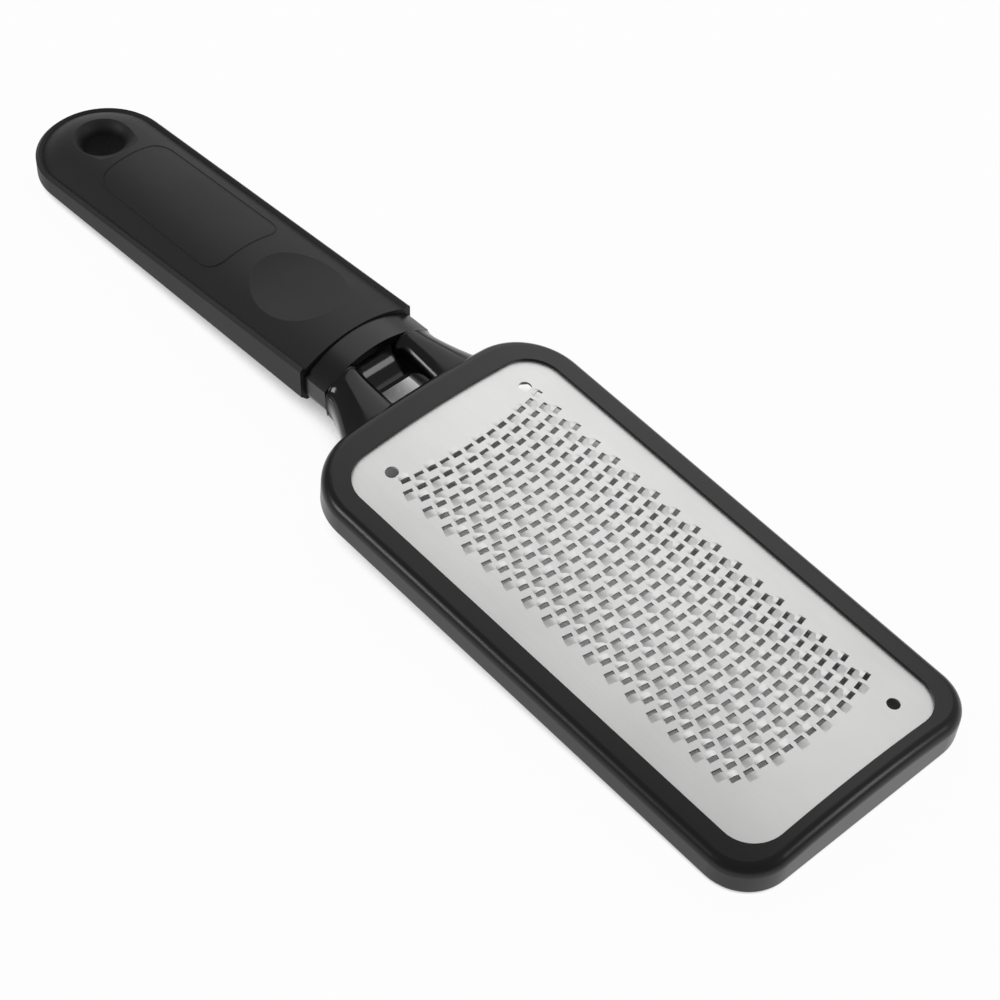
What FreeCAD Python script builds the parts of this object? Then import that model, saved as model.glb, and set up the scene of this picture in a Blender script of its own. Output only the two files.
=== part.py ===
"""A foot file: a crowned steel rasp plate in a plastic frame, a forked neck, a collar and a soft grip.

Millimetres, +Z up, +X from the butt of the handle towards the tip of the head, Y across.
The origin is on the axis of the hanging hole, level with the flat underside of the grip.
The head is modelled in a frame of its own, whose origin is under the middle of the tooth
field, level with the underside of the frame, and is then tipped down onto the handle.
"""
import FreeCAD
import Part
import Sketcher

import math
import os

from FreeCAD import Placement, Rotation, Vector

doc = FreeCAD.newDocument("foot_file")

# Driving dimensions, one cell each

DIMENSIONS = {
    # tooth field
    "tooth_pitch": 3.25,
    "row_pitch": 3.05,
    "row_radius": 75.0,
    "slot_wide": 2.3,
    "slot_long": 1.1,
    "tooth_crest": 1.3,
    "tooth_long": 0.95,
    "tooth_rise": 0.75,
    "tooth_pairs": 6,
    "row_pairs": 16,
    "stagger_share": 0.25,
    # steel sheet
    "sheet_thick": 0.6,
    "crown_radius": 190.0,
    "crown_height": 9.5,
    "edge_in": 2.0,
    "flats_each_side": 2,
    "locating_bore": 3.0,
    "locating_end_inset": 7.2,
    "locating_side_inset": 9.4,
    # frame of the head
    "opening_long": 123.4,
    "opening_wide": 57.3,
    "opening_corner": 8.0,
    "rim_side": 5.8,
    "rim_tip": 4.7,
    "rim_neck": 7.4,
    "tip_corner": 11.0,
    "neck_corner": 15.0,
    "lip": 0.7,
    "rim_round": 2.6,
    "foot_round": 0.8,
    # fork of the neck
    "fork_inset": 0.3,
    "prong_gap": 14.0,
    "prong_round": 6.0,
    "prong_sink": 3.0,
    "prong_foot_wide": 13.3,
    "prong_foot_low": 0.9,
    "prong_foot_shoulder": 5.0,
    "prong_foot_top": 8.6,
    "waist_back": 6.0,
    "prong_waist_wide": 8.8,
    "prong_waist_shoulder": 6.2,
    "prong_waist_top": 9.0,
    "prong_dish": 0.4,
    "ridge_share": 0.55,
    # throat between the prongs, and the tang behind it
    "throat_recess": 1.0,
    "throat_reach": 4.6,
    "throat_lip": 1.4,
    "throat_brow": 0.4,
    "throat_round": 8.0,
    "tang_wide": 13.0,
    "tang_thick": 3.6,
    "tang_long": 32.0,
    "tang_bottom": 3.2,
    # place of the head on the handle
    "head_tilt": 5.2,
    "head_reach": 87.7,
    "head_rise": 1.1,
    # collar
    "collar_long": 7.0,
    "collar_inset": 1.0,
    "collar_bottom": 0.5,
    "collar_corner": 2.5,
    "collar_shoulder": 7.4,
    "collar_top": 12.3,
    "collar_wall": 2.0,
    "collar_round": 0.6,
    "fit_gap": 0.1,
    # soft grip
    "grip_long": 91.1,
    "butt_half": 16.0,
    "front_half": 15.9,
    "butt_belt": 6.4,
    "front_belt": 9.8,
    "belt_corner": 0.8,
    "ledge": 1.6,
    "ledge_drop": 0.6,
    "butt_top": 11.0,
    "front_top": 12.7,
    "under_bevel": 1.6,
    "hang_bore": 9.6,
    "hang_lip": 4.0,
    "hang_lip_height": 6.4,
    "thumb_radius": 38.0,
    "thumb_depth": 1.9,
    "thumb_setback": 20.0,
    # rigid core
    "core_cover": 3.0,
    "core_bottom": 2.0,
    "core_thick": 3.0,
    "core_ring": 3.0,
    "socket_wall": 1.6,
    "socket_end": 4.0,
    "socket_gap": 0.15,
    # how far a cut runs past the face that it goes through, and how close counts as touching
    "overrun": 5.0,
    "closeness": 0.05,
}

# Dimensions that follow from those above

DERIVED = {
    "tooth_step": "tooth_pitch / row_radius * 180 / pi",
    "first_row": "-row_pairs * row_pitch",
    "rows_in_field": "2 * row_pairs + 1",
    "teeth_in_row": "2 * tooth_pairs + 1",
    "slot_half": "slot_wide / 2",
    "slot_depth": "overrun / 2",
    "slot_reach": "slot_long / 2",
    "crest_half": "tooth_crest / 2",
    "tooth_root": "sheet_thick / 2",
    "tooth_back": "slot_reach + tooth_long",
    "opening_half": "opening_wide / 2",
    "opening_end": "opening_long / 2",
    "opening_corner_x": "opening_end - opening_corner",
    "opening_corner_y": "opening_half - opening_corner",
    "plate_half": "opening_half + edge_in",
    "plate_long": "opening_long + 2 * edge_in",
    "plate_end": "plate_long / 2",
    "plate_corner": "opening_corner + edge_in",
    "plate_corner_x": "plate_end - plate_corner",
    "plate_corner_y": "plate_half - plate_corner",
    "plate_past_x": "plate_end + overrun",
    "plate_past_y": "plate_half + overrun",
    "locating_radius": "locating_bore / 2",
    "locating_x": "opening_end - locating_end_inset",
    "locating_y": "opening_half - locating_side_inset",
    "frame_half": "opening_half + rim_side",
    "frame_tip": "opening_end + rim_tip",
    "frame_neck": "opening_end + rim_neck",
    "frame_long": "frame_tip + frame_neck",
    "frame_mid": "(frame_tip - frame_neck) / 2",
    "frame_crown_radius": "crown_radius + lip",
    "frame_crown_fall": "frame_crown_radius - sqrt(frame_crown_radius ^ 2 - frame_half ^ 2)",
    "frame_shoulder": "crown_height + lip - frame_crown_fall",
    "collar_half": "front_half - collar_inset",
    "collar_foot_half": "collar_half - collar_corner",
    "collar_side_low": "collar_bottom + collar_corner",
    "collar_rise": "collar_top - collar_shoulder",
    "collar_arch": "(collar_half ^ 2 + collar_rise ^ 2) / (2 * collar_rise)",
    "collar_front": "grip_long + collar_long",
    "bore_half": "collar_half - collar_wall",
    "bore_bottom": "collar_bottom + collar_wall",
    "bore_corner": "collar_corner - collar_wall / 2",
    "bore_foot_half": "bore_half - bore_corner",
    "bore_side_low": "bore_bottom + bore_corner",
    "bore_top": "collar_top - collar_wall",
    "bore_shoulder": "collar_shoulder - collar_wall / 2",
    "bore_rise": "bore_top - bore_shoulder",
    "bore_arch": "(bore_half ^ 2 + bore_rise ^ 2) / (2 * bore_rise)",
    "plug_half": "bore_half - fit_gap",
    "plug_bottom": "bore_bottom + fit_gap",
    "plug_foot_half": "plug_half - bore_corner",
    "plug_side_low": "plug_bottom + bore_corner",
    "plug_top": "bore_top - fit_gap",
    "plug_shoulder": "bore_shoulder - fit_gap",
    "plug_rise": "plug_top - plug_shoulder",
    "plug_arch": "(plug_half ^ 2 + plug_rise ^ 2) / (2 * plug_rise)",
    "fork_back": "collar_front + fit_gap",
    "plug_long": "fork_back - grip_long",
    "throat_back": "collar_front - throat_recess",
    "throat_front": "collar_front + throat_reach",
    "throat_lip_top": "plug_bottom + throat_lip",
    "throat_brow_top": "plug_top - throat_brow",
    "throat_sky": "plug_top + overrun",
    "throat_past": "throat_front + overrun",
    "prong_inner": "prong_gap / 2",
    "root_outer": "collar_half - fork_inset",
    "root_low": "collar_bottom + fork_inset",
    "root_shoulder": "collar_shoulder - fork_inset",
    "root_ridge": "prong_inner + (root_outer - prong_inner) * ridge_share",
    "root_crown": "collar_top - collar_arch - fork_inset",
    "root_ridge_top": "root_crown + sqrt(collar_arch ^ 2 - root_ridge ^ 2)",
    "root_top": "root_crown + sqrt(collar_arch ^ 2 - prong_inner ^ 2) - prong_dish",
    "waist_x": "-frame_neck - waist_back",
    "waist_outer": "prong_inner + prong_waist_wide",
    "waist_ridge": "prong_inner + prong_waist_wide * ridge_share",
    "waist_inner_top": "prong_waist_top - prong_dish",
    "foot_x": "prong_sink - frame_neck",
    "foot_outer": "prong_inner + prong_foot_wide",
    "foot_ridge": "prong_inner + prong_foot_wide * ridge_share",
    "foot_inner_top": "prong_foot_top - prong_dish",
    "tang_half": "tang_wide / 2",
    "tang_top": "tang_bottom + tang_thick",
    "butt_under": "butt_half - under_bevel",
    "butt_belt_low": "butt_belt - belt_corner",
    "butt_belt_in": "butt_half - belt_corner",
    "butt_ledge": "butt_half - ledge",
    "butt_valley": "butt_belt - ledge_drop",
    "butt_rise": "butt_top - butt_valley",
    "butt_arch": "(butt_ledge ^ 2 + butt_rise ^ 2) / (2 * butt_rise)",
    "front_under": "front_half - under_bevel",
    "front_belt_low": "front_belt - belt_corner",
    "front_belt_in": "front_half - belt_corner",
    "front_ledge": "front_half - ledge",
    "front_valley": "front_belt - ledge_drop",
    "front_rise": "front_top - front_valley",
    "front_arch": "(front_ledge ^ 2 + front_rise ^ 2) / (2 * front_rise)",
    "hang_radius": "hang_bore / 2",
    "hang_mouth": "hang_radius + hang_lip",
    "hang_mouth_top": "hang_lip_height + hang_lip",
    "hang_above": "butt_top + overrun",
    "thumb_x": "grip_long - thumb_setback",
    "thumb_top": "butt_top + (front_top - butt_top) * thumb_x / grip_long",
    "thumb_axis": "thumb_top - thumb_depth + thumb_radius",
    "thumb_wide": "2 * butt_half",
    "core_butt": "butt_half - core_cover",
    "core_front": "front_half - core_cover",
    "core_bore": "hang_radius + core_ring",
    "socket_half": "tang_half + socket_gap + socket_wall",
    "socket_bottom": "tang_bottom - socket_gap - socket_wall",
    "socket_top": "tang_top + socket_gap + socket_wall",
    "socket_long": "tang_long + socket_gap",
    "socket_box_long": "socket_long + socket_end",
    "socket_back": "grip_long - socket_long",
    "socket_hole_long": "socket_long + overrun",
    "socket_hole_wide": "tang_wide + 2 * socket_gap",
    "socket_hole_half": "tang_half + socket_gap",
    "socket_hole_tall": "tang_thick + 2 * socket_gap",
    "socket_hole_low": "tang_bottom - socket_gap",
}

# The crown of the sheet is rolled as flats, each so narrow that it hugs the arc

DERIVED["crown_turn"] = "asin(plate_half / crown_radius)"
for flat in range(DIMENSIONS["flats_each_side"] + 1):
    DERIVED[f"crown_turn_{flat}"] = f"crown_turn * {flat} / flats_each_side"
    DERIVED[f"flat_{flat}_across"] = f"crown_radius * sin(crown_turn_{flat})"
    DERIVED[f"flat_{flat}_top"] = f"crown_height - crown_radius * (1 - cos(crown_turn_{flat}))"
    DERIVED[f"flat_{flat}_under"] = f"flat_{flat}_top - sheet_thick"

sizes = doc.addObject("Spreadsheet::Sheet", "Sizes")
for line, (alias, number) in enumerate(DIMENSIONS.items(), start=1):
    sizes.set(f"A{line}", alias)
    sizes.set(f"B{line}", str(number))
    sizes.setAlias(f"B{line}", alias)
for line, (alias, formula) in enumerate(DERIVED.items(), start=len(DIMENSIONS) + 1):
    sizes.set(f"A{line}", alias)
    sizes.set(f"B{line}", "=" + formula)
    sizes.setAlias(f"B{line}", alias)
doc.recompute()


# Helpers shared by the sub-parts

def value(cell):
    """The number in a cell, turned over where its name has a minus sign."""
    if cell == "0":
        return 0
    return -getattr(sizes, cell[1:]) if cell.startswith("-") else getattr(sizes, cell)


def expression(cell):
    """The expression that binds a size to a cell."""
    return "-Sizes." + cell[1:] if cell.startswith("-") else "Sizes." + cell


def bind(feature, **cells):
    """Bind the named properties of a feature to cells."""
    for name, cell in cells.items():
        feature.setExpression(name, expression(cell))


def new_body(name):
    return doc.addObject("PartDesign::Body", name)


def origin_part(body, role):
    return next(part for part in body.Origin.OriginFeatures if part.Role == role)


AXES_OF_PLANE = {
    "XY_Plane": Rotation(),
    "YZ_Plane": Rotation(Vector(0, 1, 0), Vector(0, 0, 1), Vector(1, 0, 0)),
    "XZ_Plane": Rotation(Vector(1, 0, 0), Vector(0, 0, 1), Vector(0, -1, 0)),
}


def attach(feature, body, role, move=Placement()):
    """Attach a sketch or primitive to an origin plane, after a move in the body's own axes."""
    lie = Placement(Vector(), AXES_OF_PLANE[role])
    feature.AttachmentSupport = [(origin_part(body, role), "")]
    feature.MapMode = "FlatFace"
    feature.AttachmentOffset = lie.inverse() * move * lie


def shift(x="0", y="0", z="0"):
    """A move by cells along the three axes."""
    return Placement(Vector(value(x), value(y), value(z)), Rotation())


def new_sketch(body, role, name, move=Placement()):
    sketch = body.newObject("Sketcher::SketchObject", name)
    attach(sketch, body, role, move)
    return sketch


def pin(sketch, geometry, end, across, up):
    """Hold one point of an edge at a pair of cells, measured from the sketch's origin."""
    for kind, axis, cell in (("DistanceX", -2, across), ("DistanceY", -1, up)):
        if cell == "0":
            sketch.addConstraint(Sketcher.Constraint("PointOnObject", geometry, end, axis))
            continue
        number = sketch.addConstraint(Sketcher.Constraint(kind, -1, 1, geometry, end, value(cell)))
        sketch.setExpression(f"Constraints[{number}]", expression(cell))


def arc_between(start, end, radius):
    """The short arc that runs anticlockwise from one point to another."""
    half = (end - start) * 0.5
    inward = Vector(-half.y, half.x, 0).normalize()
    centre = start + half + inward * max(radius ** 2 - half.Length ** 2, 0) ** 0.5
    angles = [math.atan2(point.y - centre.y, point.x - centre.x) for point in (start, end)]
    return Part.ArcOfCircle(Part.Circle(centre, Vector(0, 0, 1), radius), *angles)


def outline(sketch, corners):
    """Draw a closed outline that runs anticlockwise. Each corner is two cells, and a third is the
    radius of the arc that leaves it, bulging outwards, or inwards with a minus sign."""
    points = [Vector(value(corner[0]), value(corner[1]), 0) for corner in corners]
    count = len(corners)
    ends = []
    for here, corner in enumerate(corners):
        start = points[here]
        end = points[(here + 1) % count]
        hollow = len(corner) > 2 and corner[2].startswith("-")
        ends.append((2, 1) if hollow else (1, 2))
        if len(corner) == 2:
            sketch.addGeometry(Part.LineSegment(start, end))
        elif hollow:
            sketch.addGeometry(arc_between(end, start, -value(corner[2])))
        else:
            sketch.addGeometry(arc_between(start, end, value(corner[2])))
    first = sketch.GeometryCount - count
    for here, corner in enumerate(corners):
        following = (here + 1) % count
        sketch.addConstraint(Sketcher.Constraint(
            "Coincident", first + here, ends[here][1], first + following, ends[following][0]))
        pin(sketch, first + here, ends[here][0], corner[0], corner[1])
    for here, corner in enumerate(corners):
        if len(corner) > 2:
            cell = corner[2].lstrip("-")
            number = sketch.addConstraint(Sketcher.Constraint("Radius", first + here, value(cell)))
            sketch.setExpression(f"Constraints[{number}]", expression(cell))


def circle(sketch, across, up, radius):
    """Draw a circle whose centre and radius are cells."""
    centre = Vector(value(across), value(up), 0)
    number = sketch.addGeometry(Part.Circle(centre, Vector(0, 0, 1), value(radius)))
    pin(sketch, number, 3, across, up)
    held = sketch.addConstraint(Sketcher.Constraint("Radius", number, value(radius)))
    sketch.setExpression(f"Constraints[{held}]", expression(radius))


def pad(body, sketch, name, length, both_ways=False, backwards=False):
    feature = body.newObject("PartDesign::Pad", name)
    feature.Profile = sketch
    feature.SideType = "Symmetric" if both_ways else "One side"
    feature.Reversed = backwards
    bind(feature, Length=length)
    return feature


def cut_both_ways(body, sketch, name, length):
    feature = body.newObject("PartDesign::Pocket", name)
    feature.Profile = sketch
    feature.SideType = "Symmetric"
    bind(feature, Length=length)
    return feature


def loft(body, sketches, name):
    feature = body.newObject("PartDesign::AdditiveLoft", name)
    feature.Profile = sketches[0]
    feature.Sections = sketches[1:]
    return feature


def round_edges(body, name, radius, wanted):
    """Fillet the edges of the body's tip that a test picks out by their middle points."""
    doc.recompute()
    tip = body.Tip
    picked = []
    for number, edge in enumerate(tip.Shape.Edges, start=1):
        first, last = edge.ParameterRange
        if wanted(edge.valueAt((first + last) / 2), edge.tangentAt((first + last) / 2)):
            picked.append(f"Edge{number}")
    feature = body.newObject("PartDesign::Fillet", name)
    feature.Base = (tip, picked)
    bind(feature, Radius=radius)
    return feature


def upright(middle, direction):
    """Whether an edge stands on end."""
    return abs(direction.z) > abs(direction.x) + abs(direction.y)


# Place of the head: tipped down about the back of the neck, which meets the front of the grip

tip_down = Rotation(Vector(0, 1, 0), value("head_tilt"))
head_place = Placement(
    shift("grip_long").Base - tip_down.multVec(shift("-head_reach", "0", "-head_rise").Base), tip_down)
on_handle = head_place.inverse()


# Sheet of the rasp plate: a crowned strip with round corners and a locating hole in each

def plate_sheet():
    body = new_body("plate_sheet")
    section = new_sketch(body, "YZ_Plane", "sheet_section")
    flats = range(1, int(value("flats_each_side")) + 1)
    right = [(f"flat_{flat}_across", f"flat_{flat}_") for flat in flats]
    left = [("-" + across, level) for across, level in reversed(right)]
    across_all = left + [("0", "flat_0_")] + right
    outline(section, [(across, level + "under") for across, level in across_all]
            + [(across, level + "top") for across, level in reversed(across_all)])
    pad(body, section, "sheet_strip", "plate_long", both_ways=True)
    trim = new_sketch(body, "XY_Plane", "sheet_trim", shift("0", "0", "crown_height"))
    for east, north in (("", ""), ("-", ""), ("-", "-"), ("", "-")):
        loop = [
            (east + "plate_end", north + "plate_corner_y"),
            (east + "plate_past_x", north + "plate_corner_y"),
            (east + "plate_past_x", north + "plate_past_y"),
            (east + "plate_corner_x", north + "plate_past_y"),
            (east + "plate_corner_x", north + "plate_half"),
        ]
        if east != north:
            loop.reverse()
        outline(trim, loop[:-1] + [loop[-1] + ("-plate_corner",)])
    cut_both_ways(body, trim, "sheet_corners", "crown_height")
    holes = new_sketch(body, "XY_Plane", "locating_holes_plan", shift("0", "0", "crown_height"))
    for across in ("-locating_x", "locating_x"):
        for up in ("-locating_y", "locating_y"):
            circle(holes, across, up, "locating_radius")
    cut_both_ways(body, holes, "locating_holes", "crown_height")
    return body


# Rasp plate: rows of lanced slots, each with a lip raised towards the handle or the tip by turns.
# A row is an arc about a leaning axis, so that it bows in plan and follows the crown of the plate.

lean = math.asin(value("row_radius") / value("crown_radius"))
row_axis = Vector(-math.sin(lean), 0, math.cos(lean))
to_row = Vector(math.cos(lean), 0, math.sin(lean)) * value("row_radius")


def row_centre(row_x):
    """The point on the leaning axis of a row whose middle is at an X."""
    return Vector(row_x, 0, value("crown_height")) - to_row


def in_row(row_x, teeth):
    """The place of a tooth, so many pitches from the middle of its row."""
    turn = Rotation(row_axis, teeth * value("tooth_step"))
    centre = row_centre(row_x)
    middle = Vector(row_x, 0, value("crown_height"))
    return Placement(centre + turn.multVec(middle - centre), turn)


def tooth(name, to_handle):
    """One raised lip, upright at the edge of its slot and sloping down behind, lying on its side."""
    wedge = doc.addObject("Part::Wedge", name)
    bind(wedge, Xmin="-slot_half", Xmax="slot_half", X2min="-crest_half", X2max="crest_half")
    bind(wedge, Ymin="-tooth_root", Ymax="tooth_rise")
    if to_handle:
        bind(wedge, Zmin="-tooth_back", Zmax="-slot_reach", Z2min="-slot_reach", Z2max="-slot_reach")
    else:
        bind(wedge, Zmin="slot_reach", Zmax="tooth_back", Z2min="slot_reach", Z2max="slot_reach")
    return wedge


def slot():
    box = doc.addObject("Part::Box", "slot")
    bind(box, Length="slot_long", Width="slot_wide", Height="overrun")
    bind(box, **{"Placement.Base.x": "-slot_reach", "Placement.Base.y": "-slot_half",
                 "Placement.Base.z": "-slot_depth"})
    return box


def tooth_field():
    """The shapes of all the lips and of all the slots, each set as one compound."""
    lips = [tooth("lip_to_handle", True), tooth("lip_to_tip", False)]
    hole = slot()
    doc.recompute()
    stand = Placement(Vector(), AXES_OF_PLANE["YZ_Plane"])
    raised = []
    pierced = []
    for row in range(int(value("rows_in_field"))):
        row_x = value("first_row") + row * value("row_pitch")
        stagger = value("stagger_share") if row % 2 == 0 else -value("stagger_share")
        for number in range(int(value("teeth_in_row"))):
            place = in_row(row_x, number - value("tooth_pairs") + stagger)
            lip = lips[(row + number) % 2].Shape.copy()
            lip.Placement = place * stand
            raised.append(lip)
            opening = hole.Shape.copy()
            opening.Placement = place * hole.Placement
            pierced.append(opening)
    lip_field = doc.addObject("Part::Feature", "lip_field")
    lip_field.Shape = Part.makeCompound(raised)
    slot_field = doc.addObject("Part::Feature", "slot_field")
    slot_field.Shape = Part.makeCompound(pierced)
    return lip_field, slot_field


def rasp_plate(sheet):
    lip_field, slot_field = tooth_field()
    toothed = doc.addObject("Part::Fuse", "toothed_sheet")
    toothed.Base = sheet
    toothed.Tool = lip_field
    toothed.Refine = False
    plate = doc.addObject("Part::Cut", "rasp_plate")
    plate.Base = toothed
    plate.Tool = slot_field
    plate.Refine = False
    plate.Placement = head_place
    return plate


# Head frame: a crowned ring that the plate is moulded into, with a fork, a throat and a tang behind

def frame_ring(body):
    section = new_sketch(body, "YZ_Plane", "frame_section", shift("frame_mid"))
    outline(section, [
        ("-frame_half", "0"),
        ("frame_half", "0"),
        ("frame_half", "frame_shoulder", "frame_crown_radius"),
        ("-frame_half", "frame_shoulder"),
    ])
    pad(body, section, "frame_block", "frame_long", both_ways=True)
    round_edges(body, "frame_tip_corners", "tip_corner", lambda at, way: upright(at, way) and at.x > 0)
    round_edges(body, "frame_neck_corners", "neck_corner",
                lambda at, way: upright(at, way) and at.x < -value("opening_end") and abs(at.y) > value("opening_half"))
    plan = new_sketch(body, "XY_Plane", "opening_plan")
    outline(plan, [
        ("-opening_corner_x", "-opening_half"),
        ("opening_corner_x", "-opening_half", "opening_corner"),
        ("opening_end", "-opening_corner_y"),
        ("opening_end", "opening_corner_y", "opening_corner"),
        ("opening_corner_x", "opening_half"),
        ("-opening_corner_x", "opening_half", "opening_corner"),
        ("-opening_end", "opening_corner_y"),
        ("-opening_end", "-opening_corner_y", "opening_corner"),
    ])
    cut_both_ways(body, plan, "opening", "frame_long")

    def outer(at):
        return abs(at.x) > value("opening_end") + value("edge_in") or abs(at.y) > value("plate_half") \
            or (abs(at.x) > value("opening_corner_x") and abs(at.y) > value("opening_half") - value("closeness"))

    round_edges(body, "rim_rounding", "rim_round",
                lambda at, way: outer(at) and not upright(at, way) and at.z > value("rim_round"))
    round_edges(body, "foot_rounding", "foot_round",
                lambda at, way: outer(at) and at.z < value("closeness"))


def prong(body):
    root = new_sketch(body, "YZ_Plane", "prong_root", on_handle * shift("fork_back"))
    outline(root, [
        ("prong_inner", "root_low"),
        ("root_outer", "root_low"),
        ("root_outer", "root_shoulder"),
        ("root_ridge", "root_ridge_top"),
        ("prong_inner", "root_top", "prong_round"),
    ])
    waist = new_sketch(body, "YZ_Plane", "prong_waist", shift("waist_x"))
    outline(waist, [
        ("prong_inner", "prong_foot_low"),
        ("waist_outer", "prong_foot_low"),
        ("waist_outer", "prong_waist_shoulder"),
        ("waist_ridge", "prong_waist_top"),
        ("prong_inner", "waist_inner_top", "prong_round"),
    ])
    foot = new_sketch(body, "YZ_Plane", "prong_foot", shift("foot_x"))
    outline(foot, [
        ("prong_inner", "prong_foot_low"),
        ("foot_outer", "prong_foot_low"),
        ("foot_outer", "prong_foot_shoulder"),
        ("foot_ridge", "prong_foot_top"),
        ("prong_inner", "foot_inner_top", "prong_round"),
    ])
    right = loft(body, [root, waist, foot], "prong_right")
    left = body.newObject("PartDesign::Mirrored", "prong_left")
    left.Originals = [right]
    left.MirrorPlane = (origin_part(body, "XZ_Plane"), [""])
    body.Tip = left


def throat(body):
    section = new_sketch(body, "YZ_Plane", "plug_section", on_handle * shift("grip_long"))
    outline(section, [
        ("-plug_foot_half", "plug_bottom"),
        ("plug_foot_half", "plug_bottom", "bore_corner"),
        ("plug_half", "plug_side_low"),
        ("plug_half", "plug_shoulder", "plug_arch"),
        ("-plug_half", "plug_shoulder"),
        ("-plug_half", "plug_side_low", "bore_corner"),
    ])
    pad(body, section, "plug", "plug_long")
    chin = new_sketch(body, "XZ_Plane", "throat_side", on_handle)
    outline(chin, [
        ("throat_back", "plug_bottom"),
        ("throat_front", "plug_bottom"),
        ("throat_front", "throat_lip_top", "-throat_round"),
        ("throat_back", "throat_brow_top"),
    ])
    pad(body, chin, "throat_chin", "prong_gap", both_ways=True)
    scoop = new_sketch(body, "XZ_Plane", "throat_scoop_side", on_handle)
    outline(scoop, [
        ("throat_back", "throat_brow_top", "throat_round"),
        ("throat_front", "throat_lip_top"),
        ("throat_past", "throat_lip_top"),
        ("throat_past", "throat_sky"),
        ("throat_back", "throat_sky"),
    ])
    cut_both_ways(body, scoop, "throat_scoop", "prong_gap")
    bar = new_sketch(body, "YZ_Plane", "tang_section", on_handle * shift("grip_long"))
    outline(bar, [
        ("-tang_half", "tang_bottom"),
        ("tang_half", "tang_bottom"),
        ("tang_half", "tang_top"),
        ("-tang_half", "tang_top"),
    ])
    pad(body, bar, "tang", "tang_long", backwards=True)


def head_frame(sheet):
    body = new_body("frame_body")
    frame_ring(body)
    throat(body)
    prong(body)
    frame = doc.addObject("Part::Cut", "head_frame")
    frame.Base = body
    frame.Tool = sheet
    frame.Placement = head_place
    return frame


# Collar: an arched ring that closes the joint between the grip and the fork

def collar():
    body = new_body("collar")
    section = new_sketch(body, "YZ_Plane", "collar_section", shift("grip_long"))
    outline(section, [
        ("-collar_foot_half", "collar_bottom"),
        ("collar_foot_half", "collar_bottom", "collar_corner"),
        ("collar_half", "collar_side_low"),
        ("collar_half", "collar_shoulder", "collar_arch"),
        ("-collar_half", "collar_shoulder"),
        ("-collar_half", "collar_side_low", "collar_corner"),
    ])
    outline(section, [
        ("-bore_foot_half", "bore_bottom"),
        ("bore_foot_half", "bore_bottom", "bore_corner"),
        ("bore_half", "bore_side_low"),
        ("bore_half", "bore_shoulder", "bore_arch"),
        ("-bore_half", "bore_shoulder"),
        ("-bore_half", "bore_side_low", "bore_corner"),
    ])
    pad(body, section, "collar_ring", "collar_long")
    return body


# Rigid core: a bar inside the grip with an eye round the hanging hole and a socket for the tang

def core_blank():
    body = new_body("core_blank")
    plan = new_sketch(body, "XY_Plane", "core_plan", shift("0", "0", "core_bottom"))
    outline(plan, [
        ("0", "-core_butt"),
        ("grip_long", "-core_front"),
        ("grip_long", "core_front"),
        ("0", "core_butt", "core_butt"),
        ("-core_butt", "0", "core_butt"),
    ])
    circle(plan, "0", "0", "core_bore")
    pad(body, plan, "core_bar", "core_thick")
    box = new_sketch(body, "YZ_Plane", "socket_section", shift("grip_long"))
    outline(box, [
        ("-socket_half", "socket_bottom"),
        ("socket_half", "socket_bottom"),
        ("socket_half", "socket_top"),
        ("-socket_half", "socket_top"),
    ])
    pad(body, box, "socket_box", "socket_box_long", backwards=True)
    return body


def handle_core(blank):
    hole = doc.addObject("Part::Box", "socket_hole")
    bind(hole, Length="socket_hole_long", Width="socket_hole_wide", Height="socket_hole_tall")
    bind(hole, **{"Placement.Base.x": "socket_back", "Placement.Base.y": "-socket_hole_half",
                  "Placement.Base.z": "socket_hole_low"})
    core = doc.addObject("Part::Cut", "handle_core")
    core.Base = blank
    core.Tool = hole
    return core


# Soft grip: a domed skin moulded over the core, with a belt round its sides and a round butt

def grip_side(part):
    """The right-hand side of a section of the grip, from the underside up to the dome."""
    return [
        (f"{part}_under", "0"),
        (f"{part}_half", "under_bevel"),
        (f"{part}_half", f"{part}_belt_low"),
        (f"{part}_belt_in", f"{part}_belt"),
        (f"{part}_ledge", f"{part}_valley", f"{part}_arch"),
    ]


def grip_section(sketch, part):
    """The whole section: the side, the dome over the top, and the side again in mirror image."""
    right = grip_side(part)
    left = [("-" + right[4][0], right[4][1]),
            ("-" + right[3][0], right[3][1]),
            ("-" + right[2][0], right[2][1]),
            ("-" + right[1][0], right[1][1]),
            ("-" + right[0][0], right[0][1])]
    outline(sketch, right + left)


def grip_body():
    body = new_body("grip_body")
    back = new_sketch(body, "YZ_Plane", "grip_back_section")
    grip_section(back, "butt")
    front = new_sketch(body, "YZ_Plane", "grip_front_section", shift("grip_long"))
    grip_section(front, "front")
    loft(body, [back, front], "grip_shaft")
    half = new_sketch(body, "YZ_Plane", "butt_section")
    outline(half, [("0", "0")] + grip_side("butt") + [("0", "butt_top")])
    turned = body.newObject("PartDesign::Revolution", "butt")
    turned.Profile = half
    turned.ReferenceAxis = (half, ["V_Axis"])
    turned.Angle = 180
    mouth = new_sketch(body, "YZ_Plane", "hang_section")
    outline(mouth, [
        ("0", "0"),
        ("hang_radius", "0"),
        ("hang_radius", "hang_lip_height", "-hang_lip"),
        ("hang_mouth", "hang_mouth_top"),
        ("hang_mouth", "hang_above"),
        ("0", "hang_above"),
    ])
    hole = body.newObject("PartDesign::Groove", "hang_hole")
    hole.Profile = mouth
    hole.ReferenceAxis = (mouth, ["V_Axis"])
    hole.Angle = 360
    rest = new_sketch(body, "XZ_Plane", "thumb_section")
    circle(rest, "thumb_x", "thumb_axis", "thumb_radius")
    cut_both_ways(body, rest, "thumb_rest", "thumb_wide")
    return body


def soft_grip(blank):
    grip = doc.addObject("Part::Cut", "soft_grip")
    grip.Base = grip_body()
    grip.Tool = blank
    return grip


# Assembly

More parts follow.
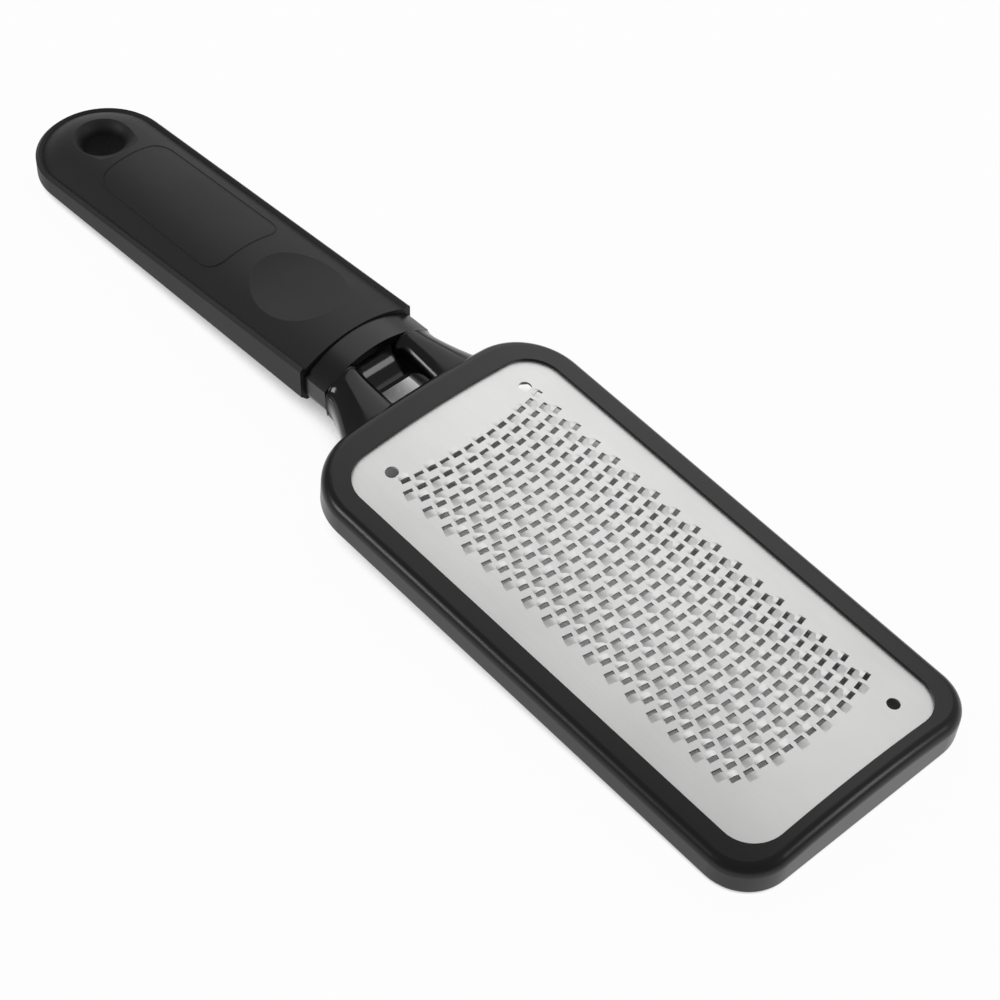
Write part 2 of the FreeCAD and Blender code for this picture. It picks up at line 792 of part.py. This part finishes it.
blank = core_blank()
sheet = plate_sheet()
nodes = [head_frame(sheet), collar(), handle_core(blank), soft_grip(blank), rasp_plate(sheet)]
doc.recompute()

# Check every object, then write one file for each sub-part

faults = [thing.Name for thing in doc.Objects if "Invalid" in thing.State or "Error" in thing.State]
if faults:
    raise RuntimeError("not computed: " + ", ".join(faults))
os.makedirs("parts", exist_ok=True)
for node in nodes:
    if node.Shape.isNull() or not node.Shape.isValid() or len(node.Shape.Solids) != 1:
        raise RuntimeError(f"{node.Label} is not one sound solid")
    node.Shape.exportStep(f"parts/{node.Label}.step")
    box = node.Shape.BoundBox
    print(f"{node.Label}: {box.XLength:.1f} x {box.YLength:.1f} x {box.ZLength:.1f},"
          f" volume {node.Shape.Volume:.0f}, x {box.XMin:.1f} to {box.XMax:.1f}, z {box.ZMin:.1f} to {box.ZMax:.1f}")
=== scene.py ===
import math

import bpy
from mathutils import Matrix, Vector


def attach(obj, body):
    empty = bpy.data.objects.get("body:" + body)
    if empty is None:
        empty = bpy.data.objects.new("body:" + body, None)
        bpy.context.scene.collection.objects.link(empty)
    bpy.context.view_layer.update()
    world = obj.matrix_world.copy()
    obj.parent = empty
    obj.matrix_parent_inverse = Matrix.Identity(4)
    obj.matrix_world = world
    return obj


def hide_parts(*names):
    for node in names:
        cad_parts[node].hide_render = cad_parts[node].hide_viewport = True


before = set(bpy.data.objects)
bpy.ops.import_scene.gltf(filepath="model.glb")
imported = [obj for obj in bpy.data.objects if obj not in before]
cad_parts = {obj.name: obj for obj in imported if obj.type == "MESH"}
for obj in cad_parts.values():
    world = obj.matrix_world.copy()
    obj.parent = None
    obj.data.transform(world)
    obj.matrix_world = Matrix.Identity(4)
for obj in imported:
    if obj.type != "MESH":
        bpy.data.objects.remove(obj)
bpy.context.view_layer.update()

# Rasp plate
# One crowned sheet of stainless steel, lanced in staggered rows so that each slot has a sharp lip raised
# towards the handle or towards the tip by turns. It is moulded into the frame by its edges.



def dress(node, material):
    """Gives a CAD node one material in place of its plain one."""
    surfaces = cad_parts[node].data.materials
    surfaces.clear()
    surfaces.append(material)


steel = bpy.data.materials.new("satin stainless sheet")
steel.use_nodes = True
steel_nodes = steel.node_tree.nodes
steel_links = steel.node_tree.links
steel_shader = steel_nodes["Principled BSDF"]
steel_place = steel_nodes.new("ShaderNodeTexCoord")
steel_stretch = steel_nodes.new("ShaderNodeMapping")
steel_stretch.inputs["Scale"].default_value = (60.0, 2200.0, 400.0)
steel_links.new(steel_place.outputs["Object"], steel_stretch.inputs["Vector"])
steel_grain = steel_nodes.new("ShaderNodeTexNoise")
steel_grain.inputs["Scale"].default_value = 1.0
steel_grain.inputs["Detail"].default_value = 3.0
steel_links.new(steel_stretch.outputs["Vector"], steel_grain.inputs["Vector"])
steel_cloud = steel_nodes.new("ShaderNodeTexNoise")
steel_cloud.inputs["Scale"].default_value = 45.0
steel_links.new(steel_place.outputs["Object"], steel_cloud.inputs["Vector"])
steel_tint = steel_nodes.new("ShaderNodeValToRGB")
steel_tint.color_ramp.elements[0].color = (0.60, 0.60, 0.595, 1)
steel_tint.color_ramp.elements[1].color = (0.68, 0.68, 0.675, 1)
steel_links.new(steel_cloud.outputs["Fac"], steel_tint.inputs["Fac"])
steel_links.new(steel_tint.outputs["Color"], steel_shader.inputs["Base Color"])
steel_rough = steel_nodes.new("ShaderNodeMapRange")
steel_rough.inputs["To Min"].default_value = 0.40
steel_rough.inputs["To Max"].default_value = 0.50
steel_links.new(steel_grain.outputs["Fac"], steel_rough.inputs["Value"])
steel_links.new(steel_rough.outputs["Result"], steel_shader.inputs["Roughness"])
steel_bump = steel_nodes.new("ShaderNodeBump")
steel_bump.inputs["Strength"].default_value = 0.05
steel_bump.inputs["Distance"].default_value = 0.0002
steel_links.new(steel_grain.outputs["Fac"], steel_bump.inputs["Height"])
steel_links.new(steel_bump.outputs["Normal"], steel_shader.inputs["Normal"])
steel_shader.inputs["Metallic"].default_value = 1.0
dress("rasp_plate", steel)

# The head is tipped down from the handle, and its own origin is under the middle of the tooth field.
grip_long = 0.0911
head = (Matrix.Translation((grip_long, 0, 0)) @ Matrix.Rotation(math.radians(5.2), 4, "Y")
        @ Matrix.Translation((0.0877, 0, 0.0011)))
crown_radius = 0.190
crown_height = 0.0095
sheet_long = 0.1246
sheet_wide = 0.0584
sheet_thick = 0.0006

# The sheet is a fine grid pressed to the crown, then thickened downwards.
bpy.ops.object.select_all(action="DESELECT")
bpy.ops.mesh.primitive_grid_add(x_subdivisions=8, y_subdivisions=48, size=1.0)
plate = bpy.context.object
plate.name = "steel_sheet"
for corner in plate.data.vertices:
    along = corner.co.x * sheet_long
    across = corner.co.y * sheet_wide
    fall = crown_radius - math.sqrt(crown_radius ** 2 - across ** 2)
    corner.co = (along, across, crown_height - fall)
thicken = plate.modifiers.new("sheet", "SOLIDIFY")
thicken.thickness = sheet_thick
thicken.offset = -1.0
bpy.ops.object.modifier_apply(modifier="sheet")

# A row of teeth is an arc about an axis that leans back, so the rows bow and follow the crown.
rows = 33
teeth_in_row = 13
tooth_pitch = 0.00325
row_pitch = 0.00305
row_radius = 0.075
lean = math.asin(row_radius / crown_radius)
row_axis = Vector((-math.sin(lean), 0, math.cos(lean)))
to_row = Vector((math.cos(lean), 0, math.sin(lean))) * row_radius


def tooth_place(row, number):
    """Where a tooth lies on the plate. Every second tooth faces about, and it changes from row to row."""
    stagger = 0.25 if row % 2 == 0 else -0.25
    middle = Vector(((row - rows // 2) * row_pitch, 0, crown_height))
    turn = Matrix.Rotation((number - teeth_in_row // 2 + stagger) * tooth_pitch / row_radius, 4, row_axis)
    about = Matrix.Translation(middle - to_row)
    face = Matrix.Rotation(math.pi if (row + number) % 2 else 0.0, 4, "Z")
    return about @ turn @ about.inverted() @ Matrix.Translation(middle) @ face


def copies(pattern, places, name):
    """Copies of one modelled shape at many places, joined as one object."""
    made = []
    for place in places:
        twin = pattern.copy()
        twin.data = pattern.data.copy()
        twin.data.transform(place)
        bpy.context.collection.objects.link(twin)
        made.append(twin)
    bpy.data.objects.remove(pattern)
    bpy.ops.object.select_all(action="DESELECT")
    for twin in made:
        twin.select_set(True)
    bpy.context.view_layer.objects.active = made[0]
    bpy.ops.object.join()
    made[0].name = name
    return made[0]


teeth = [tooth_place(row, number) for row in range(rows) for number in range(teeth_in_row)]

# Each slot is pierced back under its lip, and three corner holes go through the sheet with it.
slot_back = 0.00005
slot_size = (0.0013, 0.0022, 0.003, 1)
bpy.ops.object.select_all(action="DESELECT")
bpy.ops.mesh.primitive_cube_add(size=1.0)
punch = bpy.context.object
punch.data.transform(Matrix.Translation((-slot_back, 0, 0)) @ Matrix.Diagonal(slot_size))
slots = copies(punch, teeth, "slot_punches")
bpy.ops.object.select_all(action="DESELECT")
hole_radius = 0.0015
hole_x = 0.0545
hole_y = 0.01925
bpy.ops.mesh.primitive_cylinder_add(vertices=32, radius=hole_radius, depth=0.006)
drill = bpy.context.object
drills = copies(drill, [Matrix.Translation((x, y, crown_height - 0.001))
                        for x, y in ((-hole_x, -hole_y), (-hole_x, hole_y), (hole_x, hole_y))], "corner_drills")
for cutter in (slots, drills):
    pierce = plate.modifiers.new("pierce", "BOOLEAN")
    pierce.object = cutter
    pierce.operation = "DIFFERENCE"
    pierce.solver = "EXACT"
    bpy.ops.object.select_all(action="DESELECT")
    bpy.context.view_layer.objects.active = plate
    plate.select_set(True)
    bpy.ops.object.modifier_apply(modifier="pierce")
    bpy.data.objects.remove(cutter)

# A lip is an arched hood of the same sheet, highest at the edge of its slot and flush behind.
lip_rise = 0.00034
lip_long = 0.0016
lip_half = 0.00125
lip_front = -0.00045
lip_lift = 0.00001
bpy.ops.object.select_all(action="DESELECT")
bpy.ops.mesh.primitive_grid_add(x_subdivisions=3, y_subdivisions=6, size=1.0)
lip = bpy.context.object
for corner in lip.data.vertices:
    back = 0.5 - corner.co.x
    side = corner.co.y * 2
    rise = lip_rise * (1 - side ** 2) * (1 - back)
    corner.co = (lip_front - back * lip_long, side * lip_half, rise + lip_lift)
hood = lip.modifiers.new("hood", "SOLIDIFY")
hood.thickness = 0.0002
hood.offset = -1.0
bpy.ops.object.modifier_apply(modifier="hood")
lips = copies(lip, teeth, "raised_lips")

for steel_piece in (plate, lips):
    steel_piece.data.transform(head)
    steel_piece.data.materials.clear()
    steel_piece.data.materials.append(steel)
    bpy.ops.object.select_all(action="DESELECT")
    bpy.context.view_layer.objects.active = steel_piece
    steel_piece.select_set(True)
    bpy.ops.object.shade_smooth_by_angle(angle=math.radians(35))
    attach(steel_piece, "root")
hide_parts("rasp_plate")

# Head frame
# A black injection moulding: a crowned ring round the plate, two prongs behind it, a throat and a tang.
# The ring is satin from a lightly blasted tool, and the prongs and throat are polished. The ring holds the
# edge of the plate, and the tang goes into the handle.


def black_plastic(name, shade, rough_low, rough_high, grain_size, grain_height):
    """A black moulding: a faint mottle in its shade and gloss, and a fine grain from the mould."""
    material = bpy.data.materials.new(name)
    material.use_nodes = True
    nodes = material.node_tree.nodes
    links = material.node_tree.links
    shader = nodes["Principled BSDF"]
    shader.inputs["Specular IOR Level"].default_value = 0.36
    place = nodes.new("ShaderNodeTexCoord")
    mottle = nodes.new("ShaderNodeTexNoise")
    mottle.inputs["Scale"].default_value = 60.0
    mottle.inputs["Detail"].default_value = 4.0
    links.new(place.outputs["Object"], mottle.inputs["Vector"])
    tint = nodes.new("ShaderNodeValToRGB")
    tint.color_ramp.elements[0].color = (shade * 0.85, shade * 0.85, shade * 0.87, 1)
    tint.color_ramp.elements[1].color = (shade * 1.15, shade * 1.15, shade * 1.17, 1)
    links.new(mottle.outputs["Fac"], tint.inputs["Fac"])
    links.new(tint.outputs["Color"], shader.inputs["Base Color"])
    gloss = nodes.new("ShaderNodeMapRange")
    gloss.inputs["To Min"].default_value = rough_low
    gloss.inputs["To Max"].default_value = rough_high
    links.new(mottle.outputs["Fac"], gloss.inputs["Value"])
    links.new(gloss.outputs["Result"], shader.inputs["Roughness"])
    grain = nodes.new("ShaderNodeTexNoise")
    grain.inputs["Scale"].default_value = grain_size
    grain.inputs["Detail"].default_value = 2.0
    links.new(place.outputs["Object"], grain.inputs["Vector"])
    bump = nodes.new("ShaderNodeBump")
    bump.inputs["Strength"].default_value = 0.4
    bump.inputs["Distance"].default_value = grain_height
    links.new(grain.outputs["Fac"], bump.inputs["Height"])
    links.new(bump.outputs["Normal"], shader.inputs["Normal"])
    return material


frame_black = black_plastic("satin black frame", 0.003, 0.26, 0.34, 6000.0, 0.000003)
# The fork and throat come off a polished part of the tool, so the gloss rises behind the rim.
frame_nodes = frame_black.node_tree.nodes
frame_links = frame_black.node_tree.links
fork_axes = frame_nodes.new("ShaderNodeSeparateXYZ")
frame_links.new(frame_nodes["Texture Coordinate"].outputs["Object"], fork_axes.inputs["Vector"])
fork_polish = frame_nodes.new("ShaderNodeMapRange")
fork_polish.inputs["From Min"].default_value = 0.107
fork_polish.inputs["From Max"].default_value = 0.113
fork_polish.inputs["To Min"].default_value = 0.35
fork_polish.inputs["To Max"].default_value = 1.0
frame_links.new(fork_axes.outputs["X"], fork_polish.inputs["Value"])
fork_gloss = frame_nodes.new("ShaderNodeMath")
fork_gloss.operation = "MULTIPLY"
frame_links.new(frame_nodes["Map Range"].outputs["Result"], fork_gloss.inputs[0])
frame_links.new(fork_polish.outputs["Result"], fork_gloss.inputs[1])
frame_links.new(fork_gloss.outputs["Value"], frame_nodes["Principled BSDF"].inputs["Roughness"])
dress("head_frame", frame_black)

# Prong skins
# The polished, rounded faces of the two prongs, part of the head frame's moulding. Each is a smooth skin that
# lies close on the prong from the collar to the ring.

prong_sections = [
    (Matrix.Translation((0.0983, 0, 0)),
     ((14.6, 0.8), (14.7, 6.6), (11.2, 9.5), (7.2, 10.3), (4.5, 5.7), (6.8, 0.8))),
    (head @ Matrix.Translation((-0.0751, 0, 0)),
     ((15.8, 0.9), (15.9, 5.7), (11.8, 9.1), (7.2, 8.7), (5.5, 4.8), (6.8, 0.9))),
    (head @ Matrix.Translation((-0.0661, 0, 0)),
     ((20.3, 0.9), (20.4, 4.6), (14.3, 8.6), (7.2, 8.3), (5.7, 4.6), (6.8, 0.9))),
]


def through(points, share):
    """A smooth curve through a row of points, at a share from 0 to 1 of its length."""
    spans = len(points) - 1
    span = min(int(share * spans), spans - 1)
    part = share * spans - span
    before = points[max(span - 1, 0)]
    start, end = points[span], points[span + 1]
    after = points[min(span + 2, spans)]
    # This is the cubic that leaves each point along the line between its neighbours.
    return (start * 2 + (end - before) * part + (before * 2 - start * 5 + end * 4 - after) * part ** 2
            + (start * 3 - before - end * 3 + after) * part ** 3) / 2


waist_share = 0.62
foot_share = 1 - waist_share
for side, skin_name in ((1, "prong_skin_far"), (-1, "prong_skin_near")):
    rails = [[place @ Vector((0, side * (y + (y - 10.5) * 0.03) / 1000, (z + (z - 4.5) * 0.04) / 1000))
              for y, z in section] for place, section in prong_sections]
    bpy.ops.object.select_all(action="DESELECT")
    bpy.ops.mesh.primitive_grid_add(x_subdivisions=12, y_subdivisions=30, size=1.0)
    skin = bpy.context.object
    skin.name = skin_name
    for corner in skin.data.vertices:
        along = corner.co.x + 0.5
        root, waist, foot = (through(rail, 0.5 + side * corner.co.y) for rail in rails)
        corner.co = (root * (1 - along) * (1 - along / waist_share)
                     + foot * along * (along - waist_share) / foot_share
                     + waist * along * (1 - along) / (waist_share * foot_share))
    skin.data.materials.clear()
    skin.data.materials.append(frame_black)
    bpy.ops.object.shade_smooth()
    shell = skin.modifiers.new("shell", "SOLIDIFY")
    shell.thickness = 0.0003
    shell.offset = -1.0
    bpy.ops.object.modifier_apply(modifier="shell")
    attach(skin, "root")

# Collar
# A separate arched ring that closes the joint between the grip and the fork, moulded in semi-gloss black
# plastic. It fits round the plug of the head frame and is held between the fork and the grip.

collar_black = black_plastic("semi-gloss collar", 0.004, 0.24, 0.32, 7000.0, 0.000008)
dress("collar", collar_black)

# Handle core
# A rigid bar inside the grip, moulded first in plain black plastic. The tang of the head frame sits in its
# socket, and the grip and the collar hide it.

core_black = black_plastic("plain core moulding", 0.02, 0.5, 0.6, 5000.0, 0.00001)
dress("handle_core", core_black)

# Soft grip
# A matte black elastomer skin with a raised belt round its sides, a thumb dish and a hanging hole. It is
# moulded over the core, which holds it fast.

grip_black = black_plastic("matte soft grip", 0.007, 0.50, 0.62, 9000.0, 0.00003)
dress("soft_grip", grip_black)

# Panel line
# A fine moulded line on the dome of the grip that frames a bare panel. It is the same elastomer as the grip
# and part of its skin. It is drawn darker than the grip, and that darker colour is painted shade for the groove
# along the panel's edge.


def dome_height(x, y):
    """The height of the grip's dome, between its sections at the butt and at the front."""
    share = x / grip_long
    level = 0.0
    for weight, half, valley, top in ((1 - share, 0.0144, 0.0058, 0.011), (share, 0.0143, 0.0092, 0.0127)):
        rise = top - valley
        arch = (half ** 2 + rise ** 2) / (2 * rise)
        level += weight * (top - arch + math.sqrt(arch ** 2 - y ** 2))
    return level


panel_corner = 0.004
panel_turns = (
    (0.050, 0.0063, 0),
    (0.0145, 0.0058, 90),
    (0.0145, -0.0058, 180),
    (0.050, -0.0063, 270),
)
panel_ring = []
for turn_x, turn_y, start in panel_turns:
    for step in range(7):
        angle = math.radians(start + step * 15)
        panel_ring.append((turn_x + panel_corner * math.cos(angle), turn_y + panel_corner * math.sin(angle)))
panel_path = []
for here, (x, y) in enumerate(panel_ring):
    next_x, next_y = panel_ring[(here + 1) % len(panel_ring)]
    for step in range(6):
        along_x = x + (next_x - x) * step / 6
        along_y = y + (next_y - y) * step / 6
        panel_path.append((along_x, along_y, dome_height(along_x, along_y) - 0.00005))
bpy.ops.object.select_all(action="DESELECT")
bpy.ops.curve.primitive_bezier_circle_add()
panel = bpy.context.object
panel.name = "panel_line"
panel.data.splines.clear()
panel_spline = panel.data.splines.new("POLY")
panel_spline.points.add(len(panel_path) - 1)
for point, place in zip(panel_spline.points, panel_path):
    point.co = (*place, 1)
panel_spline.use_cyclic_u = True
panel.data.bevel_depth = 0.0002
panel.data.bevel_resolution = 1
bpy.ops.object.convert(target="MESH")
# The line's darker colour, 0.002 against the grip's 0.007, is painted shade for the groove at the panel's edge.
panel_groove_painted_shade = black_plastic("panel line painted groove shade", 0.002, 0.55, 0.66, 9000.0, 0.00001)
panel.data.materials.clear()
panel.data.materials.append(panel_groove_painted_shade)
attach(panel, "root")

# Table
# A plain white table top under the file, which touches it at the butt and at the tip of the head. It glows
# white in view and in reflections. Close under the file the glow fades by ambient occlusion, a painted shadow,
# and there the grey table shows with its real shadow from the lamps.

table_rise = math.atan2(0.0129, 0.258)
bpy.ops.object.select_all(action="DESELECT")
bpy.ops.mesh.primitive_plane_add(size=6.0, location=(-0.016, 0, -0.0003), rotation=(0, table_rise, 0))
table = bpy.context.object
table.name = "table"
white = bpy.data.materials.new("white table")
white.use_nodes = True
white_nodes = white.node_tree.nodes
white_links = white.node_tree.links
white_nodes["Principled BSDF"].inputs["Base Color"].default_value = (0.55, 0.55, 0.55, 1)
white_nodes["Principled BSDF"].inputs["Roughness"].default_value = 0.7
white_seen = white_nodes.new("ShaderNodeEmission")
white_path = white_nodes.new("ShaderNodeLightPath")
white_both = white_nodes.new("ShaderNodeMath")
white_both.operation = "MAXIMUM"
white_links.new(white_path.outputs["Is Camera Ray"], white_both.inputs[0])
white_links.new(white_path.outputs["Is Glossy Ray"], white_both.inputs[1])
white_any = white_nodes.new("ShaderNodeMath")
white_any.operation = "MAXIMUM"
white_links.new(white_both.outputs["Value"], white_any.inputs[0])
white_links.new(white_path.outputs["Is Transmission Ray"], white_any.inputs[1])
# The glow fades where ambient occlusion finds the file close above. This is a painted contact shadow, under
# which the grey table shows its real shadow from the lamps.
white_near = white_nodes.new("ShaderNodeAmbientOcclusion")
white_near.inputs["Distance"].default_value = 0.06
white_shadow = white_nodes.new("ShaderNodeMapRange")
white_shadow.inputs["From Min"].default_value = 0.11
white_shadow.inputs["From Max"].default_value = 0.41
white_shadow.inputs["To Max"].default_value = 0.97
white_links.new(white_near.outputs["AO"], white_shadow.inputs["Value"])
white_share = white_nodes.new("ShaderNodeMath")
white_share.operation = "MULTIPLY"
white_links.new(white_any.outputs["Value"], white_share.inputs[0])
white_links.new(white_shadow.outputs["Result"], white_share.inputs[1])
white_mix = white_nodes.new("ShaderNodeMixShader")
white_links.new(white_share.outputs["Value"], white_mix.inputs["Fac"])
white_links.new(white_nodes["Principled BSDF"].outputs["BSDF"], white_mix.inputs[1])
white_links.new(white_seen.outputs["Emission"], white_mix.inputs[2])
white_links.new(white_mix.outputs["Shader"], white_nodes["Material Output"].inputs["Surface"])
table.data.materials.append(white)

# Light
# A large softbox that the plate mirrors to the camera, two small lamps that draw the rounded edges, and a
# dim even world.

world = bpy.data.worlds.new("studio")
bpy.context.scene.world = world
world.use_nodes = True
sky_place = world.node_tree.nodes.new("ShaderNodeTexCoord")
sky_axes = world.node_tree.nodes.new("ShaderNodeSeparateXYZ")
sky_shade = world.node_tree.nodes.new("ShaderNodeMapRange")
sky_shade.inputs["From Min"].default_value = -0.1
sky_shade.inputs["From Max"].default_value = 0.75
sky_shade.inputs["To Min"].default_value = 0.35
sky_shade.inputs["To Max"].default_value = 0.50
world.node_tree.nodes["Background"].inputs["Color"].default_value = (1, 1, 1, 1)
world.node_tree.links.new(sky_place.outputs["Generated"], sky_axes.inputs["Vector"])
world.node_tree.links.new(sky_axes.outputs["Y"], sky_shade.inputs["Value"])
world.node_tree.links.new(sky_shade.outputs["Result"], world.node_tree.nodes["Background"].inputs["Strength"])


def soft_lamp(name, place, aim, size, power):
    """A square area lamp at a place, turned towards a point."""
    bpy.ops.object.select_all(action="DESELECT")
    bpy.ops.object.light_add(type="AREA", location=place)
    lamp = bpy.context.object
    lamp.name = name
    lamp.data.size = size
    lamp.data.energy = power
    lamp.rotation_euler = (Vector(aim) - Vector(place)).to_track_quat("-Z", "Y").to_euler()
    return lamp


soft_lamp("softbox", (-0.317, 0.477, 0.668), (0.16, 0, 0), 1.0, 3.1)
soft_lamp("side lamp", (-0.35, -0.80, 0.52), (0.14, 0, 0), 0.3, 2.6)
soft_lamp("tip lamp", (0.88, 0.47, 0.50), (0.18, 0, 0), 0.3, 1.5)

# Camera
# A long lens from the right of the tip, looking down on the rasping face.

bpy.ops.object.select_all(action="DESELECT")
bpy.ops.object.camera_add()
camera = bpy.context.object
camera.data.sensor_width = 36.0
camera.data.lens = 102.72
camera.data.clip_end = 10.0
right = Vector((0.67832, 0.73464, 0.0136))
down = Vector((0.54126, -0.48707, -0.68542))
ahead = Vector((-0.49691, 0.4723, -0.72802))
camera.matrix_world = Matrix.Translation((0.44248, -0.28937, 0.44066)) @ Matrix(
    (right, -down, -ahead)).transposed().to_4x4()
bpy.context.scene.camera = camera
bpy.context.scene.view_settings.view_transform = "Standard"
